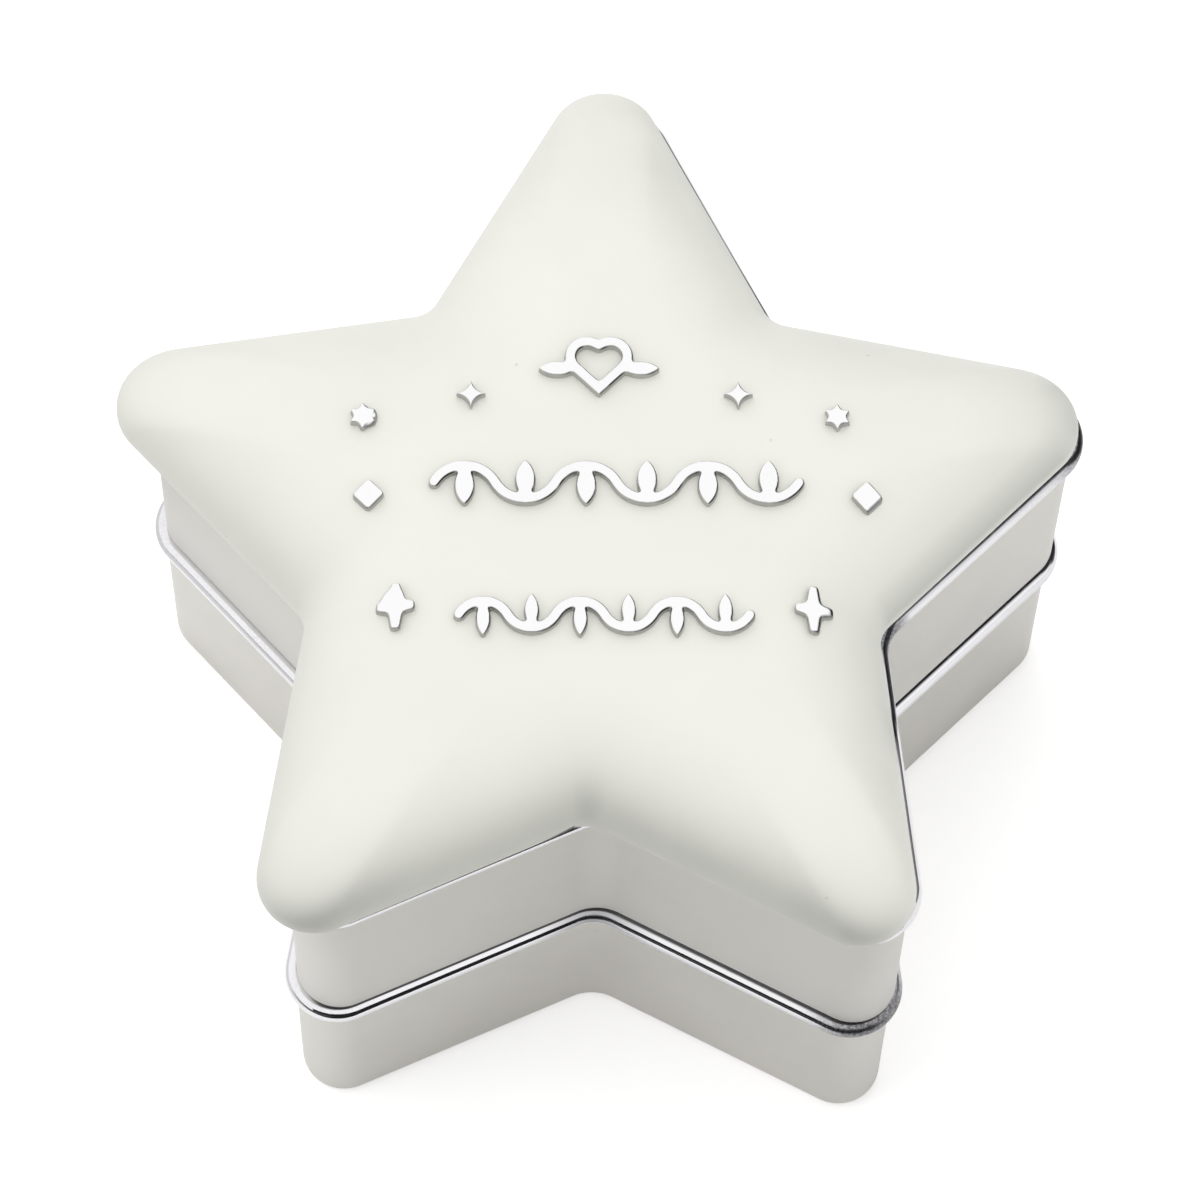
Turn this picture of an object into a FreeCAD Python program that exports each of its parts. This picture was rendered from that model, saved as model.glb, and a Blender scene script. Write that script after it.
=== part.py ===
import FreeCAD, Part
import math
import os
import re

import Sketcher

# A star-shaped keepsake box: two stacking trays with polished rims under a loose domed lid.
# Millimetres, +Z up. The origin is the centre of the base, and the star's back arm points to +Y.

doc = FreeCAD.newDocument("keepsake_box")

driving_sizes = {
    # Outline of a tray's wall from above; every other outline stands inside or outside it
    "flankReach": 19.0,         # centre of the star to the straight side of an arm
    "armHalfAngle": 28.1,       # side of an arm against the arm's axis, degrees
    "tipRound": 3.3,
    "hollowRound": 3.65,
    "leastRound": 0.3,          # smallest corner radius that the sheet metal takes
    # Trays
    "lowerTrayHeight": 19.4,    # with its rim
    "upperTrayHeight": 20.6,
    "wallThickness": 0.8,
    "floorThickness": 1.0,
    "edgeRound": 0.4,           # outer edge at the bottom of a tray
    "rimHeight": 1.9,
    "rimOverhang": 0.9,         # rim beyond the wall
    "rimRound": 0.85,
    # Ring that keeps the upper tray on the lower one
    "trayRingDepth": 2.4,
    "trayRingThickness": 0.8,
    "trayRingClearance": 0.5,
    "upperTrayShiftX": 0.2,     # where the loose upper tray has come to rest within this clearance
    "upperTrayShiftY": -0.22,
    # Velvet linings and the felt under the base
    "liningThickness": 1.6,
    "liningClearance": 0.3,
    "liningRound": 0.6,
    "feltThickness": 1.2,
    "feltClearance": 0.2,
    # Lid
    "lidOverhang": 1.2,         # lid beyond the wall
    "lidTipRound": 4.25,
    "lipHeight": 1.0,           # upright band below the dome
    "lipRound": 0.45,
    "domeRise": 7.5,            # top of the lip to the flat crown
    "crownReach": 9.6,          # centre of the star to the straight side of the crown
    "crownTipRound": 4.0,
    "crownSide": 1.5,           # straight part of the crown's side
    "domeThickness": 1.2,
    "plateThickness": 0.8,
    "plateClearance": 0.1,
    "lidRingDepth": 3.0,
    "lidRingThickness": 0.7,
    "lidPlay": 1.7,             # lid's ring to the upper tray's wall, with the lid centred
    "lidShiftX": -0.88,         # where the loose lid has come to rest within its play
    "lidShiftY": -0.6,
    "lidTurn": 0.35,            # degrees
    # Raised ornaments on the lid
    "reliefHeight": 0.7,        # above the crown
    "reliefRoot": 2.5,          # depth below the crown from which the outer motifs are cut to the dome
    "motifTurn": 1.8,           # the ornaments are set on slightly askew, degrees
    "fourStarCentre": 0.68,
    "fourStarSpan": 19.9,
    "fourStarRow": 8.62,
    "fourStarDrop": 0.2,        # its top below the middle ornaments' tops
    "fourStarReach": 1.15,
    "fourStarSide": 1.45,       # radius of its hollow sides
    "sixStarCentre": 0.33,
    "sixStarSpan": 35.3,
    "sixStarRow": 6.82,
    "sixStarDrop": 0.3,
    "sixStarReach": 1.05,
    "sixStarWaist": 0.62,
    "diamondCentre": 1.63,
    "diamondSpan": 36.9,
    "diamondRow": 0.47,
    "diamondDrop": 0.5,
    "diamondReach": 1.3,
    "diamondRound": 0.3,
    "crossCentre": 0.63,
    "crossSpan": 30.75,
    "crossRow": -8.48,
    "crossDrop": 0.65,
    "crossReach": 1.3,          # sideways
    "crossHeight": 1.75,        # up and down
    "crossWaist": 0.5,
    "crossEnd": 0.3,            # half the width of an arm at its end
    "crossRound": 0.2,
    "strokeWidth": 0.8,
    "leafSide": 2.1,            # radius of a leaf's sides
    "waveAngle": 62.0,          # half the arc of one wave of a vine, degrees
    "heartCentre": 0.33,
    "heartRow": 8.67,           # its lower point
    "heartSide": 2.9,
    "heartLeaf": 2.5,           # length of the leaf at each side of the heart
    "middleVineCentre": 1.53,
    "middleVineRow": 1.37,
    "middleWave": 9.0,
    "middleLeaf": 3.2,
    "lowerVineCentre": 0.58,
    "lowerVineRow": -9.33,
    "lowerWave": 7.1,
    "lowerLeaf": 2.8,
}
vine_waves = 3

sheet = doc.addObject("Spreadsheet::Sheet", "sizes")
for row, (alias, number) in enumerate(driving_sizes.items(), start=1):
    sheet.set(f"A{row}", alias)
    sheet.set(f"B{row}", str(number))
    sheet.setAlias(f"B{row}", alias)
doc.recompute()

arm_count = 5
arm_step = 360 / arm_count
first_arm = 90                          # the back arm's direction
hollow_angle = f"({90 - arm_step / 2} - armHalfAngle)"     # half the turn of a hollow
section_count = 9                       # steps up the dome


def formula(text):
    return re.sub(r"[A-Za-z]\w*", lambda word: "sizes." + word[0] if word[0] in driving_sizes else word[0], text)


def number_of(text):
    return float(sheet.evalExpression(formula(text)))


def bind(thing, path, text):
    thing.setExpression(path, formula(text))


def new_body(name):
    return doc.addObject("PartDesign::Body", name)


def new_sketch(body, name, height):
    sketch = body.newObject("Sketcher::SketchObject", name)
    plane = next(item for item in body.Origin.OriginFeatures if item.Role == "XY_Plane")
    sketch.AttachmentSupport = [(plane, "")]
    sketch.MapMode = "FlatFace"
    bind(sketch, "AttachmentOffset.Base.z", height)
    return sketch


def constrain(sketch, *terms):
    return sketch.addConstraint(Sketcher.Constraint(*terms))


def measure(sketch, kind, *terms, size):
    index = constrain(sketch, kind, *terms, abs(number_of(size)))
    bind(sketch, f"Constraints[{index}]", f"abs({size})")


def set_coordinate(sketch, item, end, kind, size):
    # A point is held from the sketch's origin, or on the other axis where its coordinate is nothing
    origin = (-1, 1)
    other_axis = -2 if kind == "DistanceX" else -1
    value = number_of(size)
    if abs(value) < 1e-9:
        constrain(sketch, "PointOnObject", item, end, other_axis)
    elif value > 0:
        measure(sketch, kind, *origin, item, end, size=size)
    else:
        measure(sketch, kind, item, end, *origin, size=size)


def set_point(sketch, item, end, x, y):
    set_coordinate(sketch, item, end, "DistanceX", x)
    set_coordinate(sketch, item, end, "DistanceY", y)


def arc(centre, radius, start, end):
    circle = Part.Circle(FreeCAD.Vector(centre[0], centre[1], 0), FreeCAD.Vector(0, 0, 1), radius)
    return Part.ArcOfCircle(circle, math.radians(start), math.radians(end))


def line(start, end):
    return Part.LineSegment(FreeCAD.Vector(start[0], start[1], 0), FreeCAD.Vector(end[0], end[1], 0))


def polar(distance, angle):
    return (f"({distance}) * cos({angle})", f"({distance}) * sin({angle})")


def numbers(point):
    return (number_of(point[0]), number_of(point[1]))


# The star: five round tips and five round hollows, joined by straight sides
def star_outline(sketch, offset, tip=None, hollow=None):
    reach = f"(flankReach + {offset})"
    tip_radius = f"max(leastRound; {tip or 'tipRound + ' + offset})"
    hollow_radius = f"max(leastRound; {hollow or f'hollowRound - ({offset})'})"
    tip_distance = f"({reach} - {tip_radius}) / sin(armHalfAngle)"
    hollow_distance = f"({reach} + {hollow_radius}) / cos({hollow_angle})"
    spread = number_of("90 - armHalfAngle")
    tips = []
    hollows = []
    for arm in range(arm_count):
        axis = first_arm + arm_step * arm
        centre = polar(tip_distance, axis)
        tips.append(sketch.addGeometry(arc(numbers(centre), number_of(tip_radius), axis - spread, axis + spread)))
        set_point(sketch, tips[-1], 3, *centre)
        axis += arm_step / 2
        centre = polar(hollow_distance, axis)
        half = spread - arm_step / 2
        start = axis + 180 - half
        hollows.append(sketch.addGeometry(arc(numbers(centre), number_of(hollow_radius), start, axis + 180 + half)))
        set_point(sketch, hollows[-1], 3, *centre)
    for group, radius in ((tips, tip_radius), (hollows, hollow_radius)):
        measure(sketch, "Radius", group[0], size=radius)
        for item in group[1:]:
            constrain(sketch, "Equal", group[0], item)
    for arm in range(arm_count):
        following = tips[(arm + 1) % arm_count]
        for near, near_end, far, far_end in ((tips[arm], 2, hollows[arm], 2), (hollows[arm], 1, following, 1)):
            points = []
            for item, end in ((near, near_end), (far, far_end)):
                curve = sketch.Geometry[item]
                points.append(curve.StartPoint if end == 1 else curve.EndPoint)
            side = sketch.addGeometry(Part.LineSegment(*points))
            constrain(sketch, "Tangent", near, near_end, side, 1)
            constrain(sketch, "Tangent", side, 2, far, far_end)


def star_sketch(body, name, height, offset, tip=None, hollow=None):
    sketch = new_sketch(body, name, height)
    star_outline(sketch, offset, tip, hollow)
    return sketch


# A closed outline of straight lines through the given points
def polygon(sketch, points):
    places = [numbers(point) for point in points]
    sides = [sketch.addGeometry(line(places[i - 1], places[i])) for i in range(len(places))]
    for i, side in enumerate(sides):
        constrain(sketch, "Coincident", side, 2, sides[(i + 1) % len(sides)], 1)
        set_point(sketch, side, 2, *points[i])


def pad(body, sketch, length):
    feature = body.newObject("PartDesign::Pad", sketch.Name + "_pad")
    feature.Profile = sketch
    bind(feature, "Length", length)
    sketch.Visibility = False
    doc.recompute()
    return feature


def pocket(body, sketch, length, upwards=False):
    before = body.Shape.Volume
    feature = body.newObject("PartDesign::Pocket", sketch.Name + "_pocket")
    feature.Profile = sketch
    feature.Reversed = upwards
    bind(feature, "Length", length)
    doc.recompute()
    if not body.Shape.Volume < before:
        raise RuntimeError(f"{sketch.Name} cuts nothing")
    return feature


def round_edges(body, base, radius, chosen):
    names = [f"Edge{i}" for i, edge in enumerate(base.Shape.Edges, start=1) if chosen(edge)]
    feature = body.newObject("PartDesign::Fillet", body.Name + "_round")
    feature.Base = (base, names)
    bind(feature, "Radius", radius)
    doc.recompute()
    return feature


def at_height(*heights):
    levels = [number_of(height) for height in heights]

    def chosen(edge):
        return any(all(abs(vertex.Z - level) < 1e-6 for vertex in edge.Vertexes) for level in levels)
    return chosen


def upright(edge):
    return len(edge.Vertexes) == 2 and abs(edge.Vertexes[0].Z - edge.Vertexes[1].Z) > 1e-6


# A star-shaped ring standing on the given height, with its inner outline cut right through
def star_ring(name, bottom, height, outside, inside):
    body = new_body(name)
    pad(body, star_sketch(body, name + "_outside", bottom, outside), height)
    inner = star_sketch(body, name + "_inside", f"{bottom} + {height}", inside)
    pocket(body, inner, height)
    return body


def star_plate(name, bottom, height, outside, top_round=None):
    body = new_body(name)
    solid = pad(body, star_sketch(body, name + "_outline", bottom, outside), height)
    if top_round:
        round_edges(body, solid, top_round, at_height(f"{bottom} + {height}"))
    return body


def tray_shell(name, bottom, height, recess=None):
    body = new_body(name)
    solid = pad(body, star_sketch(body, name + "_outside", bottom, "0"), height)
    round_edges(body, solid, "edgeRound", at_height(bottom))
    floor = f"floorThickness + {recess}" if recess else "floorThickness"
    inner = star_sketch(body, name + "_inside", f"{bottom} + {height}", "-wallThickness")
    pocket(body, inner, f"{height} - ({floor})")
    if recess:
        pocket(body, star_sketch(body, name + "_recess", bottom, "-wallThickness"), recess, upwards=True)
    return body


def tray_rim(name, top):
    body = new_body(name)
    solid = pad(body, star_sketch(body, name + "_outside", f"{top} - rimHeight", "rimOverhang"), "rimHeight")
    round_edges(body, solid, "rimRound", at_height(top, f"{top} - rimHeight"))
    pocket(body, star_sketch(body, name + "_inside", top, "-wallThickness"), "rimHeight")
    return body


# Lower tray, which the box stands on
lower_top = "lowerTrayHeight"
lower_floor_top = "feltThickness + floorThickness"
lining_offset = "-wallThickness - liningClearance"
pieces = {
    "lower_tray_shell": tray_shell("lower_tray_shell", "0", "lowerTrayHeight - rimHeight", recess="feltThickness"),
    "lower_tray_rim": tray_rim("lower_tray_rim", lower_top),
    "lower_tray_lining": star_plate(
        "lower_tray_lining", lower_floor_top, "liningThickness", lining_offset, "liningRound"),
    "base_felt": star_plate("base_felt", "0", "feltThickness", "-wallThickness - feltClearance"),
}

# Upper tray, standing on the lower rim
upper_top = "(lowerTrayHeight + upperTrayHeight)"
ring_outside = "-wallThickness - trayRingClearance"
pieces["upper_tray_shell"] = tray_shell("upper_tray_shell", lower_top, "upperTrayHeight - rimHeight")
pieces["upper_tray_rim"] = tray_rim("upper_tray_rim", upper_top)
pieces["upper_tray_lining"] = star_plate(
    "upper_tray_lining", f"{lower_top} + floorThickness", "liningThickness", lining_offset, "liningRound")
pieces["upper_tray_locating_ring"] = star_ring(
    "upper_tray_locating_ring", f"{lower_top} - trayRingDepth", "trayRingDepth",
    ring_outside, f"{ring_outside} - trayRingThickness")
for name in ("upper_tray_shell", "upper_tray_rim", "upper_tray_lining", "upper_tray_locating_ring"):
    bind(pieces[name], "Placement.Base.x", "upperTrayShiftX")
    bind(pieces[name], "Placement.Base.y", "upperTrayShiftY")
doc.recompute()

# Lid: a puffed star, lofted through star sections that shrink up an elliptic profile
lip_top = f"{upper_top} + lipHeight"
crown_height = f"{lip_top} + domeRise"
crown_inset = "(flankReach + lidOverhang - crownReach)"
crown_side_end = "((crownReach - crownTipRound) / tan(armHalfAngle) - crownSide)"
crown_hollow = f"({crown_side_end} / tan({hollow_angle}) - crownReach)"


def dome_sections(body, name, thickness):
    sections = []
    for step in range(section_count + 1):
        turn = 90.0 * step / section_count
        share = f"(1 - cos({turn}))"
        offset = f"lidOverhang - {thickness} - {crown_inset} * {share}"
        tip = f"lidTipRound * (1 - {share}) + crownTipRound * {share} - {thickness}"
        hollow = f"(hollowRound - lidOverhang) * (1 - {share}) + {crown_hollow} * {share} + {thickness}"
        height = f"{lip_top} + (domeRise - {thickness}) * sin({turn})"
        sections.append(star_sketch(body, f"{name}_{step}", height, offset, tip, hollow))
    return sections


def loft(body, kind, name, sections):
    feature = body.newObject(kind, name)
    feature.Profile = sections[0]
    feature.Sections = sections[1:]
    doc.recompute()
    return feature


def dome_form(name):
    body = new_body(name)
    edge = [
        star_sketch(body, "lip_bottom", upper_top, "lidOverhang - lipRound", "lidTipRound - lipRound"),
        star_sketch(body, "lip_turn", f"{upper_top} + lipRound * (1 - cos(45))",
                    "lidOverhang - lipRound * (1 - sin(45))", "lidTipRound - lipRound * (1 - sin(45))"),
        star_sketch(body, "lip_side", f"{upper_top} + lipRound", "lidOverhang", "lidTipRound"),
    ]
    loft(body, "PartDesign::AdditiveLoft", "dome_outside", edge + dome_sections(body, "outer_section", "0"))
    return body


def lid_dome():
    body = dome_form("lid_dome")
    solid_volume = body.Shape.Volume
    mouth_tip = "lidTipRound - domeThickness"
    mouth = [star_sketch(body, "mouth", upper_top, "lidOverhang - domeThickness", mouth_tip)]
    inner = dome_sections(body, "inner_section", "domeThickness")
    loft(body, "PartDesign::SubtractiveLoft", "dome_inside", mouth + inner)
    if not body.Shape.Volume < solid_volume:
        raise RuntimeError("the lid's hollow cuts nothing")
    return body


def place_on_lid(body, x="0", y="0", turn="0"):
    body.Placement = FreeCAD.Placement(FreeCAD.Vector(), FreeCAD.Rotation(FreeCAD.Vector(0, 0, 1), 1))
    bind(body, "Placement.Base.x", f"lidShiftX + ({x}) * cos({turn}) - ({y}) * sin({turn})")
    bind(body, "Placement.Base.y", f"lidShiftY + ({x}) * sin({turn}) + ({y}) * cos({turn})")
    bind(body, "Placement.Rotation.Angle", turn)
    doc.recompute()


lid_ring_outside = "-wallThickness - lidPlay"
pieces["lid_dome"] = lid_dome()
pieces["lid_closing_plate"] = star_plate(
    "lid_closing_plate", upper_top, "plateThickness", "lidOverhang - domeThickness - plateClearance")
pieces["lid_locating_ring"] = star_ring(
    "lid_locating_ring", f"{upper_top} - lidRingDepth", "lidRingDepth",
    lid_ring_outside, f"{lid_ring_outside} - lidRingThickness")
seat_form = dome_form("seat_form")      # the dome as a full solid, which the outer motifs are cut to
for body in (pieces["lid_dome"], pieces["lid_closing_plate"], pieces["lid_locating_ring"], seat_form):
    place_on_lid(body, turn="lidTurn")


# Raised ornaments: the inner ones stand on the flat crown, the outer ones are cut to the dome under them
def crown_sketch(body, name):
    return new_sketch(body, name, crown_height)


def seat_on_crown(name, body, x, y):
    place_on_lid(body, x, y, "motifTurn")
    pieces[name] = body


def seat_on_slope(name, body, x, y):
    body.Label = name + "_blank"
    place_on_lid(body, x, y, "motifTurn")
    seated = doc.addObject("Part::Cut", name)
    seated.Base = body
    seated.Tool = seat_form
    doc.recompute()
    pieces[name] = seated


# Four points with hollow sides
def four_star(sketch):
    reach = number_of("fourStarReach")
    radius = number_of("fourStarSide")
    # The hollow side's centre lies on the diagonal, one radius from two neighbouring points
    depth = (reach + math.sqrt(2 * radius ** 2 - reach ** 2)) / 2
    swing = math.degrees(math.asin((depth - reach) / radius))
    sides = []
    for quarter in range(4):
        diagonal = 45 + 90 * quarter
        centre = (depth * math.sqrt(2) * math.cos(math.radians(diagonal)),
                  depth * math.sqrt(2) * math.sin(math.radians(diagonal)))
        start = diagonal + 180 - 45 + swing
        sides.append(sketch.addGeometry(arc(centre, radius, start, start + 90 - 2 * swing)))
    measure(sketch, "Radius", sides[0], size="fourStarSide")
    for quarter in range(4):
        constrain(sketch, "Coincident", sides[quarter], 1, sides[(quarter + 1) % 4], 2)
        set_point(sketch, sides[quarter], 1, *polar("fourStarReach", 90 + 90 * quarter))
        if quarter:
            constrain(sketch, "Equal", sides[0], sides[quarter])


def six_star(sketch):
    points = []
    for corner in range(12):
        points.append(polar("sixStarWaist" if corner % 2 else "sixStarReach", 90 + 30 * corner))
    polygon(sketch, points)


def diamond(sketch):
    polygon(sketch, [polar("diamondReach", 90 * corner) for corner in range(4)])


def cross_star(sketch):
    points = []
    for right, up in ((1, 1), (-1, 1), (-1, -1), (1, -1)):
        near_top = (f"{right} * crossEnd", f"{up} * crossHeight")
        waist = (f"{right} * crossWaist", f"{up} * crossWaist")
        near_side = (f"{right} * crossReach", f"{up} * crossEnd")
        corner = [near_side, waist, near_top]
        points += corner if right * up > 0 else corner[::-1]
    polygon(sketch, points)


side_motifs = (
    ("four_point_star", "fourStar", four_star, None, "0", seat_on_crown),
    ("six_point_star", "sixStar", six_star, None, "reliefRoot", seat_on_slope),
    ("diamond", "diamond", diamond, "diamondRound", "reliefRoot", seat_on_slope),
    ("cross_star", "cross", cross_star, "crossRound", "reliefRoot", seat_on_slope),
)
for motif, family, draw, corner_round, root, seat in side_motifs:
    for side, direction in (("left", "-"), ("right", "+")):
        body = new_body(f"{motif}_{side}")
        sketch = new_sketch(body, f"{motif}_{side}_outline", f"{crown_height} - {root}")
        draw(sketch)
        solid = pad(body, sketch, f"{root} + reliefHeight - {family}Drop")
        if corner_round:
            round_edges(body, solid, corner_round, upright)
        seat(f"{motif}_{side}", body, f"{family}Centre {direction} {family}Span / 2", f"{family}Row")


# A leaf of two arcs between its root and its tip
def leaf(body, name, root, tip):
    sketch = crown_sketch(body, name)
    start = FreeCAD.Vector(*numbers(root), 0)
    end = FreeCAD.Vector(*numbers(tip), 0)
    radius = number_of("leafSide")
    half = (end - start).Length / 2
    along = (end - start).normalize()
    across = FreeCAD.Vector(-along.y, along.x, 0)
    middle = (start + end) * 0.5
    back = math.sqrt(radius ** 2 - half ** 2)
    heading = math.degrees(math.atan2(across.y, across.x))
    swing = math.degrees(math.asin(half / radius))
    sides = []
    for way, direction in ((1, heading), (-1, heading + 180)):
        centre = middle - across * back * way
        sides.append(sketch.addGeometry(arc((centre.x, centre.y), radius, direction - swing, direction + swing)))
    constrain(sketch, "Coincident", sides[0], 1, sides[1], 2)
    constrain(sketch, "Coincident", sides[0], 2, sides[1], 1)
    set_point(sketch, sides[0], 1, *tip)
    set_point(sketch, sides[0], 2, *root)
    measure(sketch, "Radius", sides[0], size="leafSide")
    constrain(sketch, "Equal", sides[0], sides[1])
    return pad(body, sketch, "reliefHeight")


# Half a wave of a vine's stem: a bent bar between two radial ends
def half_wave(body, name, wave, middle, up):
    sketch = crown_sketch(body, name)
    radius = f"{wave} / 4 / sin(waveAngle)"
    centre = (middle, f"{-up} * {radius} * cos(waveAngle)")
    heading = 90 * up
    swing = number_of("waveAngle")
    bends = []
    for way in (1, -1):
        width = f"{radius} + {way} * strokeWidth / 2"
        bends.append(sketch.addGeometry(arc(numbers(centre), number_of(width), heading - swing, heading + swing)))
        set_point(sketch, bends[-1], 3, *centre)
        measure(sketch, "Radius", bends[-1], size=width)
        for end, turn in ((1, f"{heading} - waveAngle"), (2, f"{heading} + waveAngle")):
            set_coordinate(sketch, bends[-1], end, "DistanceX", f"{centre[0]} + ({width}) * cos({turn})")
    for end in (1, 2):
        corners = []
        for bend in bends:
            curve = sketch.Geometry[bend]
            corners.append(curve.StartPoint if end == 1 else curve.EndPoint)
        closing = sketch.addGeometry(Part.LineSegment(*corners))
        constrain(sketch, "Coincident", closing, 1, bends[0], end)
        constrain(sketch, "Coincident", closing, 2, bends[1], end)
    return pad(body, sketch, "reliefHeight")


def vine(name, wave, leaf_length):
    body = new_body(name)
    rise = f"({wave} / 4 / sin(waveAngle)) * (1 - cos(waveAngle))"
    features = []
    for half, up in ((0, 1), (1, -1)):
        middle = f"({half} - {vine_waves} + 0.5) * {wave} / 2"
        features.append(half_wave(body, f"{name}_stem_{half}", wave, middle, up))
        root = (middle, f"{up} * {rise}")
        tip = (middle, f"{up} * ({rise} - {leaf_length})")
        features.append(leaf(body, f"{name}_leaf_{half}", root, tip))
    row = body.newObject("PartDesign::LinearPattern", name + "_row")
    row.Originals = features
    row.Direction = (features[0].Profile[0], ["H_Axis"])
    bind(row, "Length", f"{wave} * {vine_waves - 1}")
    row.Occurrences = vine_waves
    body.Tip = row
    doc.recompute()
    return body


# A heart of two straight sides and two half circles, drawn round its lower point
def heart_outline(sketch, side, lift):
    right = number_of(side) * math.cos(math.radians(45))
    point = number_of(lift)
    round_radius = number_of(side) / 2
    corner = (0, point)
    shoulder = (right, point + right)
    dip = (0, point + 2 * right)
    rights = sketch.addGeometry(line(corner, shoulder))
    lobe_right = sketch.addGeometry(arc((right / 2, point + 1.5 * right), round_radius, -45, 135))
    lobe_left = sketch.addGeometry(arc((-right / 2, point + 1.5 * right), round_radius, 45, 225))
    lefts = sketch.addGeometry(line((-right, point + right), corner))
    constrain(sketch, "Coincident", rights, 2, lobe_right, 1)
    constrain(sketch, "Coincident", lobe_right, 2, lobe_left, 1)
    constrain(sketch, "Coincident", lobe_left, 2, lefts, 1)
    constrain(sketch, "Coincident", lefts, 2, rights, 1)
    set_point(sketch, rights, 1, "0", lift)
    set_point(sketch, rights, 2, f"{side} * cos(45)", f"{lift} + {side} * cos(45)")
    set_point(sketch, lobe_right, 2, "0", f"{lift} + 2 * {side} * cos(45)")
    set_point(sketch, lefts, 1, f"-{side} * cos(45)", f"{lift} + {side} * cos(45)")
    set_coordinate(sketch, lobe_right, 3, "DistanceX", f"{side} * cos(45) / 2")
    set_coordinate(sketch, lobe_left, 3, "DistanceX", f"-{side} * cos(45) / 2")


def heart(name):
    body = new_body(name)
    outside = crown_sketch(body, name + "_outside")
    heart_outline(outside, "heartSide", "0")
    pad(body, outside, "reliefHeight")
    inner_side = "(heartSide - strokeWidth)"
    inside = new_sketch(body, name + "_inside", f"{crown_height} + reliefHeight")
    heart_outline(inside, inner_side, "strokeWidth * sin(45)")
    pocket(body, inside, "reliefHeight")
    height = "heartSide * cos(45)"
    for way in (-1, 1):
        root = (f"{way} * (heartSide * cos(45) - strokeWidth / 2)", height)
        tip = (f"{way} * (heartSide * cos(45) + heartLeaf)", height)
        leaf(body, f"{name}_leaf_{'right' if way > 0 else 'left'}", root, tip)
    return body


seat_on_crown("upper_ornament", heart("upper_ornament"), "heartCentre", "heartRow")
seat_on_crown("middle_ornament", vine("middle_ornament", "middleWave", "middleLeaf"),
             "middleVineCentre", "middleVineRow")
seat_on_crown("lower_ornament", vine("lower_ornament", "lowerWave", "lowerLeaf"),
             "lowerVineCentre", "lowerVineRow")

# Every object has to be sound before anything is written
for item in doc.Objects:
    if "Invalid" in item.State or "Error" in item.State:
        raise RuntimeError(f"{item.Name} failed: {item.State}")
for name, piece in pieces.items():
    shape = piece.Shape
    if shape.isNull() or not shape.isValid() or not shape.Solids:
        raise RuntimeError(f"{name} has no sound solid")

os.makedirs("parts", exist_ok=True)
for name, piece in pieces.items():
    piece.Label = name
    piece.Shape.exportStep(os.path.join("parts", name + ".step"))
    box = piece.Shape.BoundBox
    print(f"{name}: {len(piece.Shape.Solids)} solid, {piece.Shape.Volume:.1f} mm3,",
          f"z {box.ZMin:.2f} to {box.ZMax:.2f}, width {box.XLength:.2f}, depth {box.YLength:.2f}")
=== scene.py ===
import math

import bmesh
import bpy
import numpy as np
from mathutils import Matrix, Vector, noise


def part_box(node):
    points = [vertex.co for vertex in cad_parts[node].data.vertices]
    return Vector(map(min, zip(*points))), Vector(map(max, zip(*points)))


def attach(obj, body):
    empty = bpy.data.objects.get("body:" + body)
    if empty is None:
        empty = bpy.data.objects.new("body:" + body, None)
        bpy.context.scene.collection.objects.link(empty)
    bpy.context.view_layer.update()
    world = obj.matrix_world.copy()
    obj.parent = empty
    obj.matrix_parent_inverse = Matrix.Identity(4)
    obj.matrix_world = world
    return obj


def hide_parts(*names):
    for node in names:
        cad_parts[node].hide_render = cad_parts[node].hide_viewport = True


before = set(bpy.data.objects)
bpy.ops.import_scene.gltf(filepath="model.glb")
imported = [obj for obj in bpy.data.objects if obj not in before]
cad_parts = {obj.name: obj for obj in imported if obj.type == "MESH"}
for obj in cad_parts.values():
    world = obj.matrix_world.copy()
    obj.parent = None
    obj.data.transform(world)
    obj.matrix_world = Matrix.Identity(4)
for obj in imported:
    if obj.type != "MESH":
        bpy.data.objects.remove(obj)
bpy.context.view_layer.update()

mm = 0.001
tiny = 1e-12                            # keeps a division by a length away from zero
sharpAngle = math.radians(38)           # edges sharper than this aren't shaded smooth

# the star seen from above: every outline is this one let out or drawn in by an offset
star = {
    "arms": 5,
    "firstArm": math.radians(90),       # the back arm
    "reach": 19.0 * mm,                 # centre to an arm's straight side
    "halfAngle": math.radians(28.1),    # side of an arm against its axis
    "tipRound": 3.3 * mm,
    "hollowRound": 3.65 * mm,
    "leastRound": 0.3 * mm,
    "tipSteps": 30,
    "sideSteps": 14,
    "hollowSteps": 18,
}
armStep = 2 * math.pi / star["arms"]
tipSpread = math.pi / 2 - star["halfAngle"]
hollowTurn = tipSpread - armStep / 2


def starSizes(offset, tip=None, hollow=None):
    reach = star["reach"] + offset
    tipRadius = max(star["leastRound"], star["tipRound"] + offset if tip is None else tip)
    hollowRadius = max(star["leastRound"], star["hollowRound"] - offset if hollow is None else hollow)
    tipDistance = (reach - tipRadius) / math.sin(star["halfAngle"])
    hollowDistance = (reach + hollowRadius) / math.cos(hollowTurn)
    return tipRadius, tipDistance, hollowRadius, hollowDistance


def arcPoints(centre, radius, start, end, steps):
    turns = np.linspace(start, end, steps + 1)
    return np.column_stack((centre[0] + radius * np.cos(turns), centre[1] + radius * np.sin(turns)))


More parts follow.
